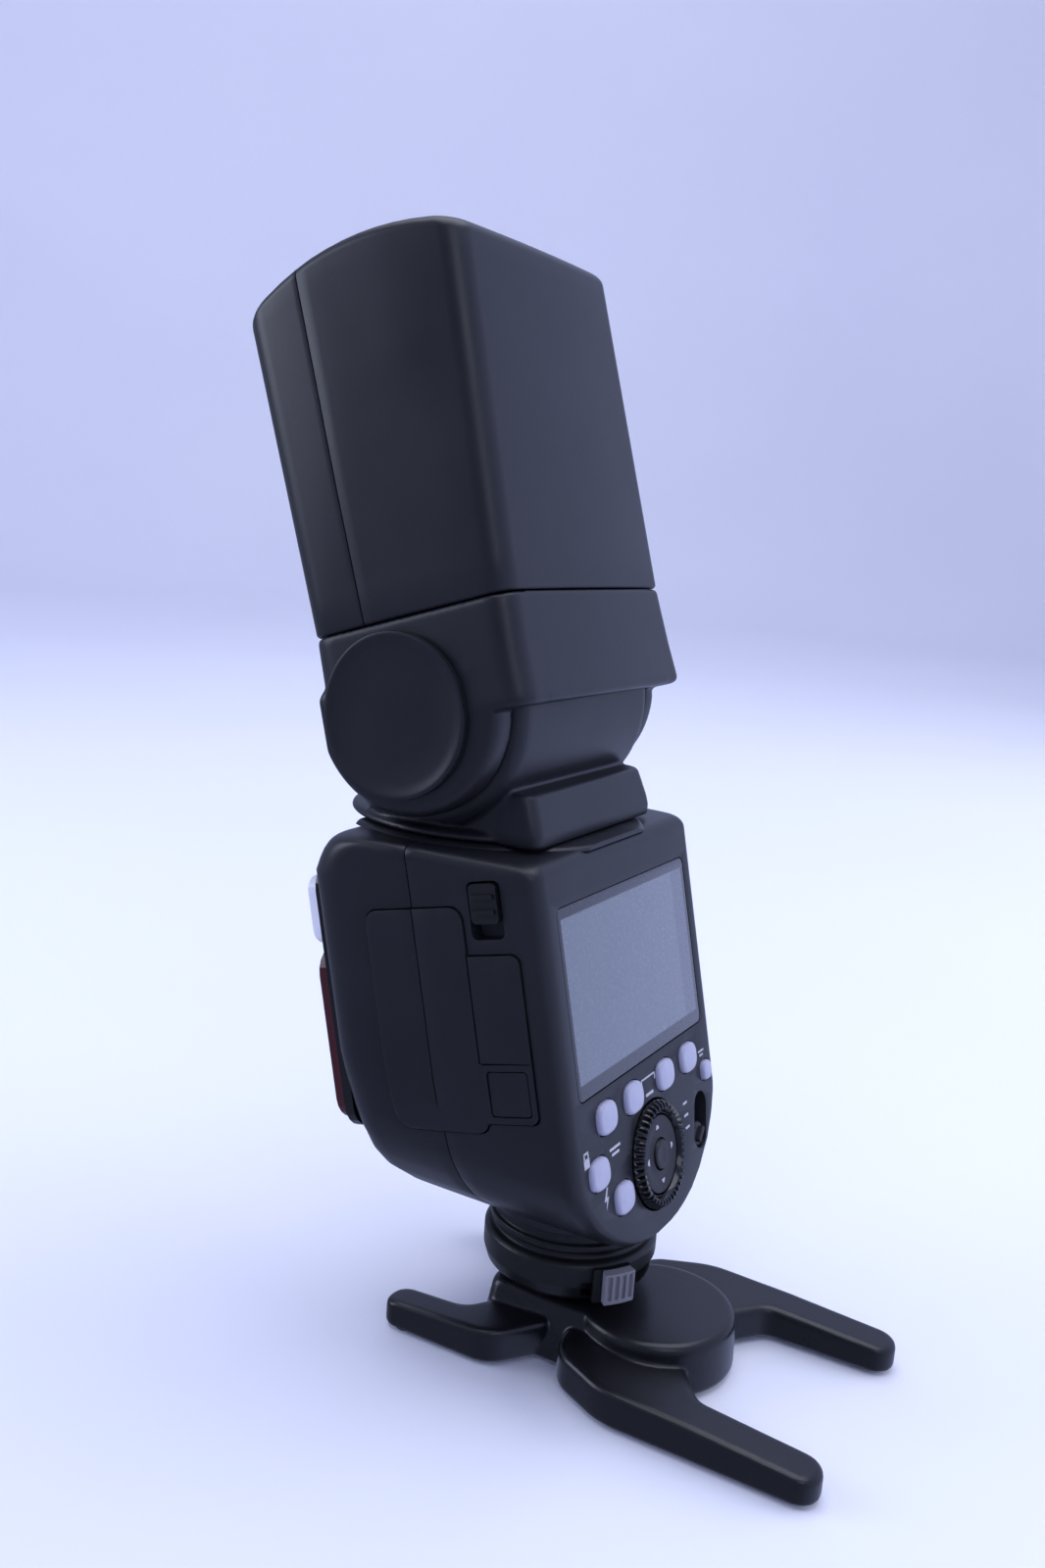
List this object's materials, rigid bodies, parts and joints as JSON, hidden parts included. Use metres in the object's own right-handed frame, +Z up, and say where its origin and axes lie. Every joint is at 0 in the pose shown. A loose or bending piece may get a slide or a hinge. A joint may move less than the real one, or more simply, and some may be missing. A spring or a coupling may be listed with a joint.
{
  "type": "speedlight flash on a table stand",
  "caption": "Shoe-mount camera flash with a tilting, swivelling zoom head, display and control dial, locked in the shoe of a small table stand.",
  "frame": {"origin": "on the table, on the flash foot's axis, which is the axis of the stand's tripod socket", "axes": "+Z up, the display faces -Y, the lamp and focus-aid windows face +Y, the battery side is -X"},
  "size_m": [0.0744, 0.1359, 0.2172],
  "materials": {
    "black_plastic": "fine matte texture",
    "gloss_black": "polished",
    "display_glass": "clear, grey blue",
    "display_module": "grey blue",
    "key_plastic": "milky, slightly see-through",
    "grip_grey": "matte",
    "black_rubber": "matte",
    "metal_plate": "brushed",
    "brass_insert": "turned",
    "inner_plastic": "moulded",
    "board": "solder mask",
    "electronics": "sleeved",
    "white_diffuser": "frosted white",
    "red_window": "deep red, glossy",
    "clear_plastic": "clear, ribbed",
    "mirror_metal": "bright rolled"
  },
  "bodies": {
    "stand": {"stand_frame": "black_plastic", "tripod_insert": "brass_insert", "stand_pads": "black_rubber"},
    "flash_body": {"rear_shell": "black_plastic", "front_shell": "black_plastic", "lcd_glass": "display_glass", "lcd_module": "display_module", "control_pcb": "board", "key_switches": "black_rubber", "main_pcb": "board", "main_capacitor": "electronics", "transformer": "electronics", "battery_contacts": "brass_insert", "front_bezel": "gloss_black", "led_diffuser": "white_diffuser", "af_window": "red_window", "port_block": "inner_plastic", "swivel_collar": "black_plastic", "foot_base": "black_plastic", "shoe_plate": "metal_plate", "contact_block": "inner_plastic", "foot_screws": "metal_plate"},
    "battery": {"battery_case": "black_plastic", "battery_cells": "electronics"},
    "battery_latch": {"latch_button": "black_plastic"},
    "bay_lock": {"lock_slider": "black_plastic"},
    "lever": {"lock_lever": "black_plastic", "lever_grip": "grip_grey"},
    "shoe_pin": {"lock_pin": "metal_plate"},
    "contacts": {"contact_pins": "brass_insert"},
    "dial": {"dial_ring": "gloss_black"},
    "nav": {"nav_pad": "black_plastic"},
    "set_key": {"set_button": "black_plastic"},
    "power": {"power_knob": "black_plastic"},
    "port_door": {"port_cover": "black_rubber"},
    "neck": {"neck_housing": "black_plastic", "swivel_ring": "metal_plate", "pivot_shaft": "metal_plate"},
    "head": {"head_lower": "black_plastic", "head_rear": "black_plastic", "head_front": "black_plastic", "head_bezel": "gloss_black", "fresnel_lens": "clear_plastic", "pivot_caps": "black_plastic", "head_frame": "inner_plastic", "zoom_motor": "metal_plate"},
    "screw": {"zoom_screw": "metal_plate"},
    "carriage": {"zoom_carriage": "inner_plastic", "reflector": "mirror_metal", "flash_tube": "clear_plastic"},
    "wide": {"wide_panel": "clear_plastic"},
    "card": {"bounce_card": "white_diffuser"},
    "key_1_cap": {"key_1": "key_plastic"},
    "key_2_cap": {"key_2": "key_plastic"},
    "key_3_cap": {"key_3": "key_plastic"},
    "key_4_cap": {"key_4": "key_plastic"},
    "key_test_cap": {"key_test": "key_plastic"},
    "key_lock_cap": {"key_lock": "key_plastic"},
    "key_mode_cap": {"key_mode": "key_plastic"}
  },
  "joints": [
    {"name": "shoe_slide", "type": "slide", "parent": "stand", "child": "flash_body", "axis": [0, 1, 0], "range_m": [0, 0.045]},
    {"name": "battery_slide", "type": "slide", "parent": "flash_body", "child": "battery", "axis": [-1, 0, 0], "range_m": [0, 0.055]},
    {"name": "battery_latch_press", "type": "slide", "parent": "battery", "child": "battery_latch", "axis": [1, 0, 0], "range_m": [0, 0.0012], "stiffness_N_per_m": 400},
    {"name": "bay_lock_slide", "type": "slide", "parent": "flash_body", "child": "bay_lock", "axis": [0, -0.2198, -0.9755], "range_m": [0, 0.0025]},
    {"name": "lever_turn", "type": "hinge", "parent": "flash_body", "child": "lever", "pos_m": [0, 0, 0.0172], "axis": [0, 0, 1], "range_deg": [0, 50]},
    {"name": "shoe_pin_slide", "type": "slide", "parent": "flash_body", "child": "shoe_pin", "axis": [0, 0, -1], "range_m": [0, 0.0016]},
    {"name": "contact_press", "type": "slide", "parent": "flash_body", "child": "contacts", "axis": [0, 0, 1], "range_m": [0, 0.0004], "stiffness_N_per_m": 500},
    {"name": "key_1_press", "type": "slide", "parent": "flash_body", "child": "key_1_cap", "axis": [0, 0.9755, -0.2198], "range_m": [0, 0.0006], "stiffness_N_per_m": 500},
    {"name": "key_2_press", "type": "slide", "parent": "flash_body", "child": "key_2_cap", "axis": [0, 0.9755, -0.2198], "range_m": [0, 0.0006], "stiffness_N_per_m": 500},
    {"name": "key_3_press", "type": "slide", "parent": "flash_body", "child": "key_3_cap", "axis": [0, 0.9755, -0.2198], "range_m": [0, 0.0006], "stiffness_N_per_m": 500},
    {"name": "key_4_press", "type": "slide", "parent": "flash_body", "child": "key_4_cap", "axis": [0, 0.9755, -0.2198], "range_m": [0, 0.0006], "stiffness_N_per_m": 500},
    {"name": "key_test_press", "type": "slide", "parent": "flash_body", "child": "key_test_cap", "axis": [0, 0.9755, -0.2198], "range_m": [0, 0.0006], "stiffness_N_per_m": 500},
    {"name": "key_lock_press", "type": "slide", "parent": "flash_body", "child": "key_lock_cap", "axis": [0, 0.9755, -0.2198], "range_m": [0, 0.0006], "stiffness_N_per_m": 500},
    {"name": "key_mode_press", "type": "slide", "parent": "flash_body", "child": "key_mode_cap", "axis": [0, 0.9755, -0.2198], "range_m": [0, 0.0006], "stiffness_N_per_m": 500},
    {"name": "dial_turn", "type": "hinge", "parent": "flash_body", "child": "dial", "pos_m": [0, -0.01697, 0.04298], "axis": [0, 0.9755, -0.2198], "continuous": true},
    {"name": "nav_press", "type": "slide", "parent": "flash_body", "child": "nav", "axis": [0, 0.9755, -0.2198], "range_m": [0, 0.0004], "stiffness_N_per_m": 600},
    {"name": "set_press", "type": "slide", "parent": "flash_body", "child": "set_key", "axis": [0, 0.9755, -0.2198], "range_m": [0, 0.0006], "stiffness_N_per_m": 500},
    {"name": "power_slide", "type": "slide", "parent": "flash_body", "child": "power", "axis": [0.2756, 0.2113, 0.9377], "range_m": [0, 0.005]},
    {"name": "port_door_swing", "type": "hinge", "parent": "flash_body", "child": "port_door", "pos_m": [0.0372, 0.02419, 0.06733], "axis": [0, 0.2198, 0.9755], "range_deg": [0, 100]},
    {"name": "swivel", "type": "hinge", "parent": "flash_body", "child": "neck", "pos_m": [0, 0.025, 0.1075], "axis": [0, 0, 1], "range_deg": [-180, 180]},
    {"name": "tilt", "type": "hinge", "parent": "neck", "child": "head", "pos_m": [0, 0.0275, 0.1289], "axis": [1, 0, 0], "range_deg": [-73, 35]},
    {"name": "zoom_slide", "type": "slide", "parent": "head", "child": "carriage", "axis": [0, -0.294, -0.9558], "range_m": [0, 0.0195]},
    {"name": "zoom_screw_turn", "type": "hinge", "parent": "head", "child": "screw", "pos_m": [0.022, 0.03367, 0.18978], "axis": [0, 0.294, 0.9558], "range_deg": [-1900, 1900]},
    {"name": "wide_panel_slide", "type": "slide", "parent": "head", "child": "wide", "axis": [0, 0.294, 0.9558], "range_m": [0, 0.028]},
    {"name": "bounce_card_slide", "type": "slide", "parent": "head", "child": "card", "axis": [0, 0.294, 0.9558], "range_m": [0, 0.028]}
  ],
  "couplings": [
    {"joint": "shoe_pin_slide", "follows": "lever_turn", "m_per_rad": 0.0018335},
    {"joint": "zoom_screw_turn", "follows": "zoom_slide", "rad_per_m": 1570.8}
  ]
}
